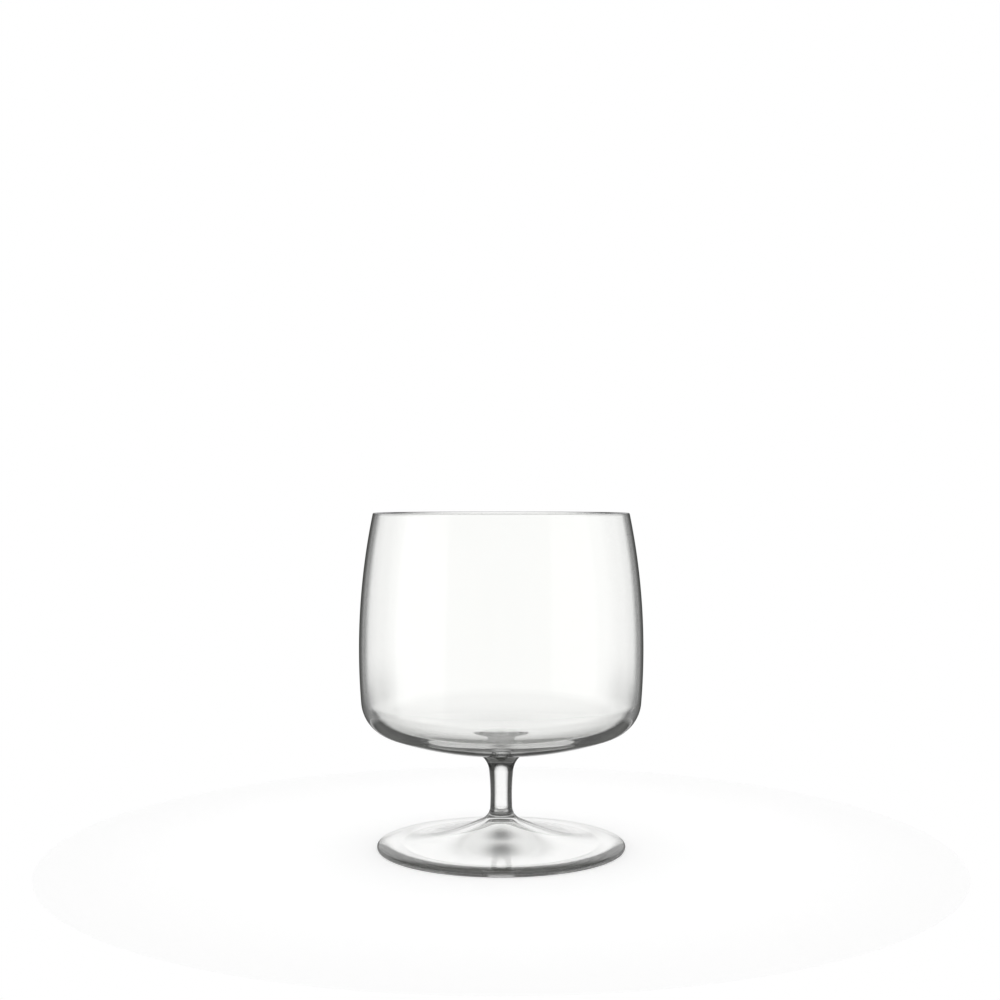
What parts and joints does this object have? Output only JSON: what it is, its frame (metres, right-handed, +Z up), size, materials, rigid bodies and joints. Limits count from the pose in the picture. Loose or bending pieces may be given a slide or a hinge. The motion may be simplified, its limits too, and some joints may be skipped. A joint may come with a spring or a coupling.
{
  "type": "brandy snifter",
  "caption": "Short-stemmed clear glass snifter: a barrel-shaped bowl that narrows to the rim, on a waisted stem and a round foot, for holding and warming brandy.",
  "frame": {"origin": "centre of the foot's rest ring, on the plane that the glass stands on", "axes": "+Z up along the axis of the glass, +X to the right in the picture, +Y away from the viewer"},
  "size_m": [0.095, 0.095, 0.112],
  "materials": {
    "clear_glass": "fire-polished clear glass, colourless with a faint grey tone at thick edges"
  },
  "bodies": {
    "root": {"bowl": "clear_glass", "stem": "clear_glass", "foot": "clear_glass"}
  },
  "joints": []
}
